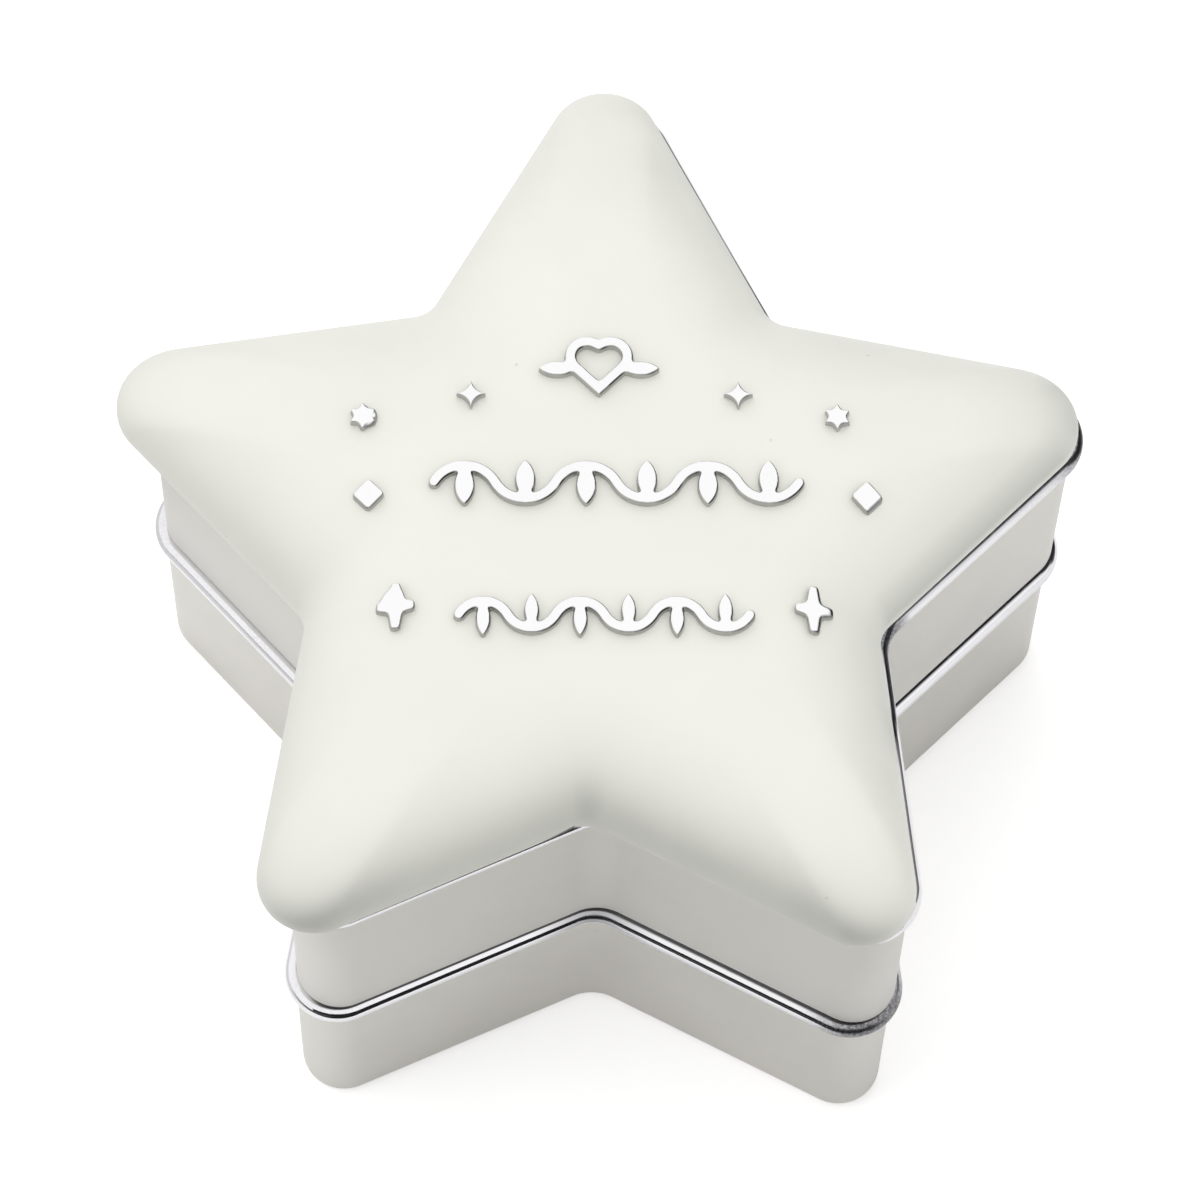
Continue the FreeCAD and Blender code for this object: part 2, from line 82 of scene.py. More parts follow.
def starRing(offset, tip=None, hollow=None):
    tipRadius, tipDistance, hollowRadius, hollowDistance = starSizes(offset, tip, hollow)
    stretches = []
    for arm in range(star["arms"]):
        axis = star["firstArm"] + armStep * arm
        centre = (tipDistance * math.cos(axis), tipDistance * math.sin(axis))
        stretches.append(arcPoints(centre, tipRadius, axis - tipSpread, axis + tipSpread, star["tipSteps"]))
        axis += armStep / 2
        centre = (hollowDistance * math.cos(axis), hollowDistance * math.sin(axis))
        start = axis + math.pi + hollowTurn
        stretches.append(arcPoints(centre, hollowRadius, start, start - 2 * hollowTurn, star["hollowSteps"]))
    ring = []
    for index, stretch in enumerate(stretches):
        following = stretches[(index + 1) % len(stretches)]
        ring.append(stretch)
        shares = np.arange(1, star["sideSteps"])[:, None] / star["sideSteps"]
        ring.append(stretch[-1] * (1 - shares) + following[0] * shares)    # straight side
    return np.vstack(ring)


def turned(points, turn):
    cosine = math.cos(turn)
    sine = math.sin(turn)
    return points @ np.array(((cosine, sine), (-sine, cosine)))


# how far points lie outside one of the star's outlines
def starDistance(points, offset, tip=None, hollow=None):
    tipRadius, tipDistance, hollowRadius, hollowDistance = starSizes(offset, tip, hollow)
    turn = np.arctan2(points[:, 1], points[:, 0]) - star["firstArm"]
    folded = np.abs((turn + armStep / 2) % armStep - armStep / 2)
    away = np.hypot(points[:, 0], points[:, 1])
    along = away * np.cos(folded)
    across = away * np.sin(folded)
    sine = math.sin(star["halfAngle"])
    cosine = math.cos(star["halfAngle"])
    side = along * sine + across * cosine - star["reach"] - offset
    run = along * cosine - across * sine
    fromTip = np.hypot(along - tipDistance, across) - tipRadius
    hollowAlong = hollowDistance * math.cos(armStep / 2)
    hollowAcross = hollowDistance * math.sin(armStep / 2)
    fromHollow = hollowRadius - np.hypot(along - hollowAlong, across - hollowAcross)
    inHollow = run < hollowDistance * math.sin(hollowTurn)
    return np.where(run > tipDistance * cosine, fromTip, np.where(inHollow, fromHollow, side))


# centre of a star-shaped solid, found from its box
def centreOf(node, offset, turn=0.0, tip=None):
    ring = turned(starRing(offset, tip), turn)
    low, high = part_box(node)
    return low.x - ring[:, 0].min(), high.y - ring[:, 1].max()


def newMesh(name, points, faces):
    mesh = bpy.data.meshes.new(name)
    mesh.from_pydata([tuple(point) for point in points], [], faces)
    work = bmesh.new()
    work.from_mesh(mesh)
    bmesh.ops.recalc_face_normals(work, faces=work.faces)
    work.to_mesh(mesh)
    work.free()
    mesh.shade_smooth()
    mesh.set_sharp_from_angle(angle=sharpAngle)
    piece = bpy.data.objects.new(name, mesh)
    bpy.context.scene.collection.objects.link(piece)
    return piece


# rings stacked along a profile of (offset, height), some with a tip and hollow radius of their own;
# open ends get a flat cap
def starPiece(name, profile, centre, turn=0.0, closed=False, capSteps=6):
    points = []
    for entry in profile:
        ring = turned(starRing(entry[0], *entry[2:]), turn)
        points.append(np.column_stack((ring, np.full(len(ring), entry[1]))))
    count = len(points[0])
    if not closed:
        shares = [1 - step / capSteps for step in range(1, capSteps)]
        start = [points[0] * (share, share, 1) for share in reversed(shares)]
        end = [points[-1] * (share, share, 1) for share in shares]
        points = start + points + end
    faces = []
    levels = len(points)
    for level in range(levels if closed else levels - 1):
        low = level * count
        high = (level + 1) % levels * count
        for i in range(count):
            j = (i + 1) % count
            faces.append((low + i, low + j, high + j, high + i))
    points = np.vstack(points)
    if not closed:
        middles = [(0, 0, profile[0][1]), (0, 0, profile[-1][1])]
        last = (levels - 1) * count
        for i in range(count):
            j = (i + 1) % count
            faces.append((len(points), i, j))
            faces.append((len(points) + 1, last + j, last + i))
        points = np.vstack((points, middles))
    points = points + (centre[0], centre[1], 0)
    return newMesh(name, points, faces)


# painted shade and dark reflection in a seam: a dark line, most along the sides that face right
seam = {
    "towards": (1.0, 0.0),
    "start": 0.35,              # cosine where the film begins, and the change to its full strength
    "change": 0.6,
    "kept": ((-40, -31, 58, 90), (0.0, 1.0, 1.0, 0.3)),    # by angle, towards the front right and back points
    "away": ((-1.75, -1.4), (0.1, 1.0)),                   # on sides that face away
    "step": 0.01 * mm,          # for the slope that tells which way a side faces
}


def meshPoints(mesh):
    points = np.zeros(len(mesh.vertices) * 3)
    mesh.vertices.foreach_get("co", points)
    return points.reshape(-1, 3)


def setMask(mesh, name, values):
    mask = mesh.attributes.new(name, "FLOAT", "POINT")
    mask.data.foreach_set("value", np.clip(values, 0, 1))


# how far the star's side next to each point faces the way that is painted in shade: 0 to about 1, and below 0
# away from it
def facingShare(flat):
    slopes = []
    for step in ((seam["step"], 0.0), (0.0, seam["step"])):
        slopes.append(starDistance(flat + step, 0.0) - starDistance(flat - np.array(step), 0.0))
    outward = np.column_stack(slopes)
    outward /= np.maximum(np.linalg.norm(outward, axis=1), tiny)[:, None]
    return (outward @ np.array(seam["towards"]) - seam["start"]) / seam["change"]


# amount gives the painted shade, and on the rim also the wear, for points' distance outside the star, height,
# facing and angle
def addShadeAndWear(piece, centre, amount):
    points = meshPoints(piece.data)
    flat = points[:, :2] - centre
    facing = facingShare(flat)
    angle = np.degrees(np.arctan2(flat[:, 1], flat[:, 0]))
    towards = np.clip(facing, 0, 1) * np.interp(angle, *seam["kept"])
    shadeAndWear = amount(starDistance(flat, 0.0), points[:, 2], towards, angle)
    setMask(piece.data, "shadeAndWear", shadeAndWear * np.interp(facing, *seam["away"]))


def roundCorner(offset, height, radius, start, end, steps=6):
    turns = np.radians(np.linspace(start, end, steps + 1))
    return [(offset + radius * math.cos(turn), height + radius * math.sin(turn)) for turn in turns]


def finishPiece(piece, body, slotName, material, *nodes):
    piece.data.materials.clear()
    piece.data.materials.append(material)
    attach(piece, body)
    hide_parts(*nodes)


# shader helpers
def newGroup(name, inputs, outputs):
    group = bpy.data.node_groups.new(name, "ShaderNodeTree")
    for label, kind, value in inputs:
        group.interface.new_socket(label, in_out="INPUT", socket_type=kind).default_value = value
    for label, kind in outputs:
        group.interface.new_socket(label, in_out="OUTPUT", socket_type=kind)
    return group, group.nodes.new("NodeGroupInput"), group.nodes.new("NodeGroupOutput")


def addNode(tree, kind, links=None, **settings):
    node = tree.nodes.new(kind)
    for label, value in settings.items():
        setattr(node, label, value)
    for label, value in (links or {}).items():
        socket = node.inputs[label]
        if isinstance(value, bpy.types.NodeSocket):
            tree.links.new(value, socket)
        else:
            socket.default_value = value
    return node


def mathNode(tree, operation, first, second):
    return addNode(tree, "ShaderNodeMath", {0: first, 1: second}, operation=operation).outputs[0]


def rangeNode(tree, value, fromLow, fromHigh, toLow, toHigh):
    links = {"Value": value, "From Min": fromLow, "From Max": fromHigh, "To Min": toLow, "To Max": toHigh}
    return addNode(tree, "ShaderNodeMapRange", links).outputs["Result"]


def noiseNode(tree, vector, scale, detail, rough):
    links = {"Vector": vector, "Scale": scale, "Detail": detail, "Roughness": rough}
    return addNode(tree, "ShaderNodeTexNoise", links).outputs["Fac"]


# of the mix node's sockets, 0, 6 and 7 are the share and the two colours, and output 2 is the mixed one
def mixColour(tree, share, first, second):
    links = {0: share, 6: first, 7: second}
    return addNode(tree, "ShaderNodeMix", links, data_type="RGBA").outputs[2]


# blasted satin grain: fine height, slow cloud over the colour, and a few tiny pits
satinLook = {
    "grain": (3.0, 0.6),        # detail and roughness of a noise
    "cloud": (4.0, 0.55),
    "cloudRange": (0.3, 0.7),
    "pitEdge": (0.03, 0.07),    # share of a pit's cell where its edge fades
    "pitDepth": 2.0,            # against the grain's height
    "pitShade": 0.2,
    "bump": 0.12,
    "bumpDepth": 0.02 * mm,
}


def satinGrainGroup():
    group, given, made = newGroup(
        "satinGrain",
        [("Grain Scale", "NodeSocketFloat", 9000.0), ("Cloud Scale", "NodeSocketFloat", 90.0),
         ("Pit Scale", "NodeSocketFloat", 420.0), ("Pit Share", "NodeSocketFloat", 0.1)],
        [("Height", "NodeSocketFloat"), ("Cloud", "NodeSocketFloat"), ("Pits", "NodeSocketFloat")])
    place = addNode(group, "ShaderNodeTexCoord").outputs["Object"]
    grain = noiseNode(group, place, given.outputs["Grain Scale"], *satinLook["grain"])
    cloud = noiseNode(group, place, given.outputs["Cloud Scale"], *satinLook["cloud"])
    cells = addNode(group, "ShaderNodeTexVoronoi", {"Vector": place, "Scale": given.outputs["Pit Scale"]})
    picked = addNode(group, "ShaderNodeSeparateColor", {"Color": cells.outputs["Color"]}).outputs["Red"]
    chosen = mathNode(group, "LESS_THAN", picked, given.outputs["Pit Share"])
    dot = rangeNode(group, cells.outputs["Distance"], *satinLook["pitEdge"], 1.0, 0.0)
    pits = mathNode(group, "MULTIPLY", dot, chosen)
    dented = mathNode(group, "MULTIPLY", pits, satinLook["pitDepth"])
    group.links.new(mathNode(group, "SUBTRACT", grain, dented), made.inputs["Height"])
    group.links.new(cloud, made.inputs["Cloud"])
    group.links.new(pits, made.inputs["Pits"])
    return group


# wear of a polished surface: hairline scuffs in patches, and slow waves left by the casting
polishLook = {
    "waves": (2.0, 0.5),        # detail and roughness of a noise
    "patches": (2.0, 0.5),
    "scuffs": (4.0, 0.7),
    "patchRange": (0.48, 0.66),
    "patchMost": 0.15,
    "scuffRange": (0.35, 0.65),
    "roughest": 0.6,            # amount of scuffs that is roughest
    "scuffDepth": 0.5,          # against the waves
    "bump": 0.5,
}


def polishWearGroup():
    group, given, made = newGroup(
        "polishWear",
        [("Wave Scale", "NodeSocketFloat", 700.0), ("Scuff Scale", "NodeSocketFloat", 4200.0),
         ("Patch Scale", "NodeSocketFloat", 120.0)],
        [("Waves", "NodeSocketFloat"), ("Scuffs", "NodeSocketFloat")])
    place = addNode(group, "ShaderNodeTexCoord").outputs["Object"]
    waves = noiseNode(group, place, given.outputs["Wave Scale"], *polishLook["waves"])
    patches = noiseNode(group, place, given.outputs["Patch Scale"], *polishLook["patches"])
    knocked = addNode(group, "ShaderNodeAttribute", attribute_name="scuff").outputs["Fac"]
    rubbed = rangeNode(group, patches, *polishLook["patchRange"], 0.0, polishLook["patchMost"])
    worn = mathNode(group, "MAXIMUM", rubbed, knocked)
    fine = noiseNode(group, place, given.outputs["Scuff Scale"], *polishLook["scuffs"])
    hairlines = rangeNode(group, fine, *polishLook["scuffRange"], 0.0, 1.0)
    scuffs = mathNode(group, "MULTIPLY", hairlines, worn)
    group.links.new(waves, made.inputs["Waves"])
    group.links.new(scuffs, made.inputs["Scuffs"])
    return group


# short fibres of a napped cloth
clothLook = {
    "fibres": (4.0, 0.7),       # detail and roughness of a noise
    "shade": (3.0, 0.5),
    "shadeRange": (0.12, 0.4),
    "rough": 0.95,
    "bump": 0.6,
}


def napGroup():
    group, given, made = newGroup(
        "clothNap",
        [("Fibre Scale", "NodeSocketFloat", 6000.0), ("Shade Scale", "NodeSocketFloat", 160.0)],
        [("Fibres", "NodeSocketFloat"), ("Shade", "NodeSocketFloat")])
    place = addNode(group, "ShaderNodeTexCoord").outputs["Object"]
    fibres = noiseNode(group, place, given.outputs["Fibre Scale"], *clothLook["fibres"])
    shade = noiseNode(group, place, given.outputs["Shade Scale"], *clothLook["shade"])
    group.links.new(fibres, made.inputs["Fibres"])
    group.links.new(shade, made.inputs["Shade"])
    return group


# painted shade and dark reflection, and on the rim some wear too, from the amount that the mesh holds, broken
# up a little
shadeAndWearLook = {
    "colour": (0.035, 0.035, 0.04, 1),
    "breaks": (3.0, 0.6),       # detail and roughness of a noise
    "breakRange": (0.3, 0.5),
    "least": 0.94,
}


def paintedShadeAndWearGroup():
    group, given, made = newGroup("paintedShadeAndWear", [("Break Scale", "NodeSocketFloat", 1500.0)],
                                  [("ShadeAndWear", "NodeSocketFloat")])
    place = addNode(group, "ShaderNodeTexCoord").outputs["Object"]
    held = addNode(group, "ShaderNodeAttribute", attribute_name="shadeAndWear").outputs["Fac"]
    broken = noiseNode(group, place, given.outputs["Break Scale"], *shadeAndWearLook["breaks"])
    share = rangeNode(group, broken, *shadeAndWearLook["breakRange"], shadeAndWearLook["least"], 1.0)
    group.links.new(mathNode(group, "MULTIPLY", held, share), made.inputs["ShadeAndWear"])
    return group


satinGrain = satinGrainGroup()
paintedShadeAndWear = paintedShadeAndWearGroup()
polishWear = polishWearGroup()
clothNap = napGroup()


def newMaterial(name):
    material = bpy.data.materials.new(name)
    material.use_nodes = True
    tree = material.node_tree
    tree.nodes.clear()
    shader = tree.nodes.new("ShaderNodeBsdfPrincipled")
    output = tree.nodes.new("ShaderNodeOutputMaterial")
    tree.links.new(shader.outputs["BSDF"], output.inputs["Surface"])
    return material, tree, shader


def groupNode(tree, group, values=None):
    return addNode(tree, "ShaderNodeGroup", values, node_tree=group)


def addBump(tree, shader, height, strength, distance):
    links = {"Height": height, "Strength": strength, "Distance": distance}
    bump = addNode(tree, "ShaderNodeBump", links)
    tree.links.new(bump.outputs["Normal"], shader.inputs["Normal"])


def satinMaterial(name, light, shade, pitColour, roughLow, roughHigh):
    material, tree, shader = newMaterial(name)
    grain = groupNode(tree, satinGrain)
    cloud = rangeNode(tree, grain.outputs["Cloud"], *satinLook["cloudRange"], 0.0, 1.0)
    colour = mixColour(tree, cloud, shade, light)
    pits = mathNode(tree, "MULTIPLY", grain.outputs["Pits"], satinLook["pitShade"])
    colour = mixColour(tree, pits, colour, pitColour)
    # painted shade from the mesh's mask, mixed in as a near-black colour
    colour = mixColour(tree, groupNode(tree, paintedShadeAndWear).outputs["ShadeAndWear"], colour, shadeAndWearLook["colour"])
    tree.links.new(colour, shader.inputs["Base Color"])
    rough = rangeNode(tree, grain.outputs["Cloud"], *satinLook["cloudRange"], roughLow, roughHigh)
    tree.links.new(rough, shader.inputs["Roughness"])
    shader.inputs["Metallic"].default_value = 1.0
    addBump(tree, shader, grain.outputs["Height"], satinLook["bump"], satinLook["bumpDepth"])
    return material


# the darker colour given last and its roughness mark what isn't polished, and carry painted shade: seams, or
# the sides of a casting; the edge mask paints a dark reflection
def polishedMaterial(name, light, shade, roughLow, roughHigh, waveDepth, shadeAndWear, shadeAndWearRough):
    material, tree, shader = newMaterial(name)
    wear = groupNode(tree, polishWear)
    shadeAndWearShare = groupNode(tree, paintedShadeAndWear).outputs["ShadeAndWear"]
    colour = mixColour(tree, wear.outputs["Scuffs"], light, shade)
    # painted reflection: where the edge mask is set, a casting's rounded right-hand edge turns near black
    edge = addNode(tree, "ShaderNodeAttribute", attribute_name="edge").outputs["Fac"]
    shadedAndWorn = mixColour(tree, shadeAndWearShare, colour, shadeAndWear)
    tree.links.new(mixColour(tree, edge, shadedAndWorn, shadeAndWearLook["colour"]), shader.inputs["Base Color"])
    rough = rangeNode(tree, wear.outputs["Scuffs"], 0.0, polishLook["roughest"], roughLow, roughHigh)
    roughened = mathNode(tree, "MULTIPLY", shadeAndWearShare, shadeAndWearRough)
    tree.links.new(mathNode(tree, "MAXIMUM", rough, roughened), shader.inputs["Roughness"])
    shader.inputs["Metallic"].default_value = 1.0
    scuffed = mathNode(tree, "MULTIPLY", wear.outputs["Scuffs"], polishLook["scuffDepth"])
    height = mathNode(tree, "ADD", wear.outputs["Waves"], scuffed)
    addBump(tree, shader, height, polishLook["bump"], waveDepth)
    return material


def clothMaterial(name, light, shade, fibreScale, sheen, sheenTint, bumpDepth):
    material, tree, shader = newMaterial(name)
    nap = groupNode(tree, clothNap, {"Fibre Scale": fibreScale})
    mixed = mathNode(tree, "MULTIPLY", nap.outputs["Fibres"], nap.outputs["Shade"])
    share = rangeNode(tree, mixed, *clothLook["shadeRange"], 0.0, 1.0)
    tree.links.new(mixColour(tree, share, shade, light), shader.inputs["Base Color"])
    shader.inputs["Roughness"].default_value = clothLook["rough"]
    shader.inputs["Sheen Weight"].default_value = sheen
    shader.inputs["Sheen Tint"].default_value = sheenTint
    addBump(tree, shader, nap.outputs["Fibres"], clothLook["bump"], bumpDepth)
    return material


lidSatin = satinMaterial("lid_satin", light=(0.955, 0.955, 0.91, 1), shade=(0.925, 0.925, 0.88, 1),
                         pitColour=(0.45, 0.43, 0.38, 1), roughLow=0.72, roughHigh=0.80)
# the trays' satin is a darker tone than the lid's, and that darkness is also painted shade for the upright
# walls; the lid's plate and rings share it
shadedSatin = satinMaterial("shaded_satin", light=(0.77, 0.755, 0.717, 1), shade=(0.72, 0.705, 0.667, 1),
                          pitColour=(0.4, 0.38, 0.34, 1), roughLow=0.40, roughHigh=0.50)
rimPolish = polishedMaterial("rim_polish", light=(0.90, 0.895, 0.92, 1), shade=(0.22, 0.22, 0.23, 1),
                             roughLow=0.07, roughHigh=0.32, waveDepth=0.02 * mm,
                             shadeAndWear=(0.03, 0.03, 0.034, 1), shadeAndWearRough=0.35)
reliefPolish = polishedMaterial("relief_polish", light=(0.97, 0.97, 0.975, 1), shade=(0.75, 0.75, 0.76, 1),
                                roughLow=0.05, roughHigh=0.2, waveDepth=0.03 * mm,
                                shadeAndWear=(0.47, 0.47, 0.455, 1), shadeAndWearRough=0.42)
velvet = clothMaterial("velvet", light=(0.52, 0.50, 0.46, 1), shade=(0.36, 0.34, 0.31, 1), fibreScale=7000.0,
                       sheen=0.8, sheenTint=(1, 0.98, 0.94, 1), bumpDepth=0.06 * mm)
felt = clothMaterial("felt", light=(0.10, 0.10, 0.105, 1), shade=(0.05, 0.05, 0.052, 1), fibreScale=3500.0,
                     sheen=0.3, sheenTint=(0.8, 0.8, 0.85, 1), bumpDepth=0.12 * mm)
print("materials ready")

# trays: pressed pans with a rolled bead round the top
tray = {
    "wall": 0.8 * mm,
    "floor": 1.0 * mm,
    "edgeRound": 0.8 * mm,
    "innerRound": 0.5 * mm,
    "rimOverhang": 0.9 * mm,
    "beadReach": 0.82 * mm,     # bead beyond the wall
    "beadFace": 1.1 * mm,       # radius of its face
    "beadEdge": 0.38 * mm,      # radius where it turns in at the top and bottom
    "beadTurn": 52,             # where one gives way to the other, degrees up and down
    "beadSteps": 20,
    "rimInnerRound": 0.25 * mm,
    "rimInnerSteps": 4,
    "shadeRise": 0.55 * mm,      # painted shade round the foot of the upper wall
    "shadeFade": 0.15 * mm,
    "shadeLeast": 0.7,           # share of it on sides that don't face right
    # painted shade on the bead, a dark band standing in for a dark reflection: where it starts by facing, and
    # where it ends on a side that faces right
    "beadShadeStart": {"lower": ((0, 1), (-0.3 * mm, 0.05 * mm)),
                      "upper": ((0, 0.62, 1), (-0.1 * mm, 0.085 * mm, 0.3 * mm))},
    "beadShadeEnd": {"lower": 0.48 * mm, "upper": 0.73 * mm},
    "beadShadeRamp": 0.1 * mm,
    "beadShadeFade": (0.30 * mm, 0.03 * mm),     # facing away and right
    "beadShadeShare": ((0, 0.5), (0.5, 1.0)),    # by facing
    # arm and reach of the knocks and of the dull stretch; a half is the hollow after an arm
    "scuffs": {"lower": ((3, 6.0 * mm),), "upper": ((4, 6.0 * mm), (3.5, 2.6 * mm))},
    "scuffRise": 1.6,
    "scuffDark": 0.62,
    "dulled": {"lower": ((2.5, 5.0 * mm),), "upper": ()},
    "dullDark": 0.62,
}
trayCentre = {which: centreOf(f"{which}_tray_rim", tray["rimOverhang"]) for which in ("lower", "upper")}


# painted shade round the foot of the upper wall, weaker on sides that don't face right
def wallPaintedShade(outside, z, facing, angle):
    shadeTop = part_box("upper_tray_shell")[0].z + tray["shadeRise"]
    least = tray["shadeLeast"]
    return np.clip((shadeTop - z) / tray["shadeFade"], 0, 1) * (least + (1 - least) * facing)


def makeTrayShell(which, recess):
    node = f"{which}_tray_shell"
    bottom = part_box(node)[0].z
    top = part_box(node)[1].z
    wall = tray["wall"]
    under = bottom + recess
    floorTop = under + tray["floor"]
    profile = []
    if recess:
        profile += [(-wall, under), (-wall, bottom)]
    edge = tray["edgeRound"]
    profile += roundCorner(-edge, bottom + edge, edge, -90, 0)
    profile += [(0, top), (-wall, top)]
    inner = tray["innerRound"]
    profile += roundCorner(-wall - inner, floorTop + inner, inner, 0, -90)
    piece = starPiece(f"{which}_tray_pan", profile, trayCentre[which])
    if which == "upper":
        addShadeAndWear(piece, trayCentre[which], wallPaintedShade)
    finishPiece(piece, f"{which}_tray", "satin_plate", shadedSatin, node)


# the bead's outside, from the bottom up: a broad face that turns in at both ends
def beadArcs(middle):
    face = tray["beadFace"]
    edge = tray["beadEdge"]
    turn = tray["beadTurn"]
    centre = tray["beadReach"] - face
    offset = centre + (face - edge) * math.cos(math.radians(turn))
    rise = (face - edge) * math.sin(math.radians(turn))
    points = roundCorner(offset, middle - rise, edge, -90, -turn)
    points += roundCorner(centre, middle, face, -turn, turn, tray["beadSteps"])[1:-1]
    return points + roundCorner(offset, middle + rise, edge, turn, 90)


# painted shade on the bead's top: a dark band in place of a dark reflection, strongest on sides that face
# right
def beadPaintedShade(which, outside, facing):
    slow, quick = tray["beadShadeFade"]
    fade = slow + (quick - slow) * facing
    start = np.interp(facing, *tray["beadShadeStart"][which])
    begun = np.clip((outside - start) / tray["beadShadeRamp"], 0, 1)
    ended = np.clip(1 - (outside - tray["beadShadeEnd"][which] * facing) / fade, 0, 1)
    return np.interp(facing, *tray["beadShadeShare"]) * begun * ended


# 1 at an arm's point, or in the hollow after it where a half is added, down to 0 at the reach
def nearShare(flat, places):
    tipRadius, tipDistance, hollowRadius, hollowDistance = starSizes(tray["rimOverhang"])
    share = np.zeros(len(flat))
    for arm, reach in places:
        axis = star["firstArm"] + armStep * arm
        away = hollowDistance - hollowRadius if arm % 1 else tipDistance + tipRadius
        place = np.array((math.cos(axis), math.sin(axis))) * away
        share = np.maximum(share, 1 - np.linalg.norm(flat - place, axis=1) / reach)
    return share


def makeTrayRim(which):
    node = f"{which}_tray_rim"
    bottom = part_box(node)[0].z
    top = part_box(node)[1].z
    inner = tray["rimInnerRound"]
    profile = beadArcs((bottom + top) / 2)
    profile += roundCorner(inner - tray["wall"], top - inner, inner, 90, 180, tray["rimInnerSteps"])
    profile += [(-tray["wall"], bottom)]
    piece = starPiece(f"{which}_tray_bead", profile, trayCentre[which], closed=True)
    flat = meshPoints(piece.data)[:, :2] - trayCentre[which]
    scuffed = np.clip(tray["scuffRise"] * nearShare(flat, tray["scuffs"][which]), 0, 1)
    dulled = tray["dullDark"] * nearShare(flat, tray["dulled"][which])
    setMask(piece.data, "scuff", scuffed)

    # the bead's painted shade on its top half, the dull stretch there, and the darker wear of the knocks
    def rimShadeAndWear(outside, z, facing, angle):
        onTop = z > (bottom + top) / 2
        shadedAndWorn = np.maximum(beadPaintedShade(which, outside, facing), dulled) * onTop
        return np.maximum(shadedAndWorn, tray["scuffDark"] * scuffed)

    addShadeAndWear(piece, trayCentre[which], rimShadeAndWear)
    finishPiece(piece, f"{which}_tray", "polished_plate", rimPolish, node)


makeTrayShell("lower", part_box("base_felt")[1].z)
makeTrayShell("upper", 0)
for which in ("lower", "upper"):
    makeTrayRim(which)

# rings under the upper tray and the lid that drop into the tray below
locating = {
    "trayClearance": 0.5 * mm,
    "trayThickness": 0.8 * mm,
    "lidPlay": 1.7 * mm,
    "lidThickness": 0.7 * mm,
    "edge": 0.12 * mm,
    "edgeSteps": 3,
}


def ringProfile(outside, thickness, bottom, top):
    edge = locating["edge"]
    steps = locating["edgeSteps"]
    inside = outside - thickness
    profile = roundCorner(outside - edge, bottom + edge, edge, -90, 0, steps)
    profile += [(outside, top), (inside, top)]
    return profile + roundCorner(inside + edge, bottom + edge, edge, 180, 270, steps)


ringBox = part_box("upper_tray_locating_ring")
profile = ringProfile(-tray["wall"] - locating["trayClearance"], locating["trayThickness"],
                      ringBox[0].z, ringBox[1].z)
ring = starPiece("upper_tray_ring", profile, trayCentre["upper"], closed=True)
finishPiece(ring, "upper_tray", "satin_plate", shadedSatin, "upper_tray_locating_ring")
print("trays ready")

# lid: a puffed star over a flat crown, hollow, closed below by a plate with a ring
lid = {
    "overhang": 1.2 * mm,
    "tipRound": 4.25 * mm,
    "turn": math.radians(0.35),  # the loose lid lies slightly askew
    "lipHeight": 1.0 * mm,
    "lipRound": 0.75 * mm,
    "shadeRise": 0.4 * mm,       # painted shade round the foot of the lip
    "shadeLeast": 0.15,          # share of it on sides that don't face right
    "gapShadow": ((-100, -92.5, -90.5), (0, 1, 0)),   # painted shadow: a dark wedge over the lip beside the front hollow, by angle
    "gapShadowRise": 0.8 * mm,
    "edgeShade": ((0, 0.6, 1), (0, 0.19, 0.1)),   # painted shade: slight darkening above the lip, by facing
    "edgeShadeBand": (0.7 * mm, 1.8 * mm, 5.0 * mm),    # heights where it begins, is darkest and ends
    "crownReach": 9.6 * mm,
    "crownTipRound": 4.0 * mm,
    "crownSide": 1.5 * mm,      # straight part of the crown's side
    "thickness": 1.2 * mm,
    "plateGap": 0.1 * mm,
    "sections": 36,
    "capSteps": 10,
    "heightSteps": 120,         # for finding the dome's height at a point
}
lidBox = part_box("lid_dome")
lidBottom = round(lidBox[0].z, 4)   # the box is in single precision
crownHeight = lidBox[1].z
lipTop = lidBottom + lid["lipHeight"]
lidCentre = centreOf("lid_dome", lid["overhang"], lid["turn"], lid["tipRound"])
crownSideEnd = (lid["crownReach"] - lid["crownTipRound"]) / math.tan(star["halfAngle"]) - lid["crownSide"]
crownHollow = crownSideEnd / math.tan(hollowTurn) - lid["crownReach"]


def domeSection(turn, thickness=0.0):
    share = 1 - math.cos(turn)
    inset = star["reach"] + lid["overhang"] - lid["crownReach"]
    offset = lid["overhang"] - thickness - inset * share
    tip = lid["tipRound"] * (1 - share) + lid["crownTipRound"] * share - thickness
    hollow = (star["hollowRound"] - lid["overhang"]) * (1 - share) + crownHollow * share + thickness
    height = lipTop + (crownHeight - lipTop - thickness) * math.sin(turn)
    return offset, height, tip, hollow


def domeSections(thickness=0.0):
    return [domeSection(turn, thickness) for turn in np.linspace(0, math.pi / 2, lid["sections"] + 1)]


lipRound = lid["lipRound"]
lipCorner = roundCorner(lid["overhang"] - lipRound, lidBottom + lipRound, lipRound, -90, 0)
tipBeyond = lid["tipRound"] - lid["overhang"]
lipOuter = [(offset, height, tipBeyond + offset) for offset, height in lipCorner]
mouth = (lid["overhang"] - lid["thickness"], lidBottom, lid["tipRound"] - lid["thickness"])
profile = domeSections(lid["thickness"])[::-1] + [mouth] + lipOuter + domeSections()
dome = starPiece("lid_top", profile, lidCentre, lid["turn"], capSteps=lid["capSteps"])


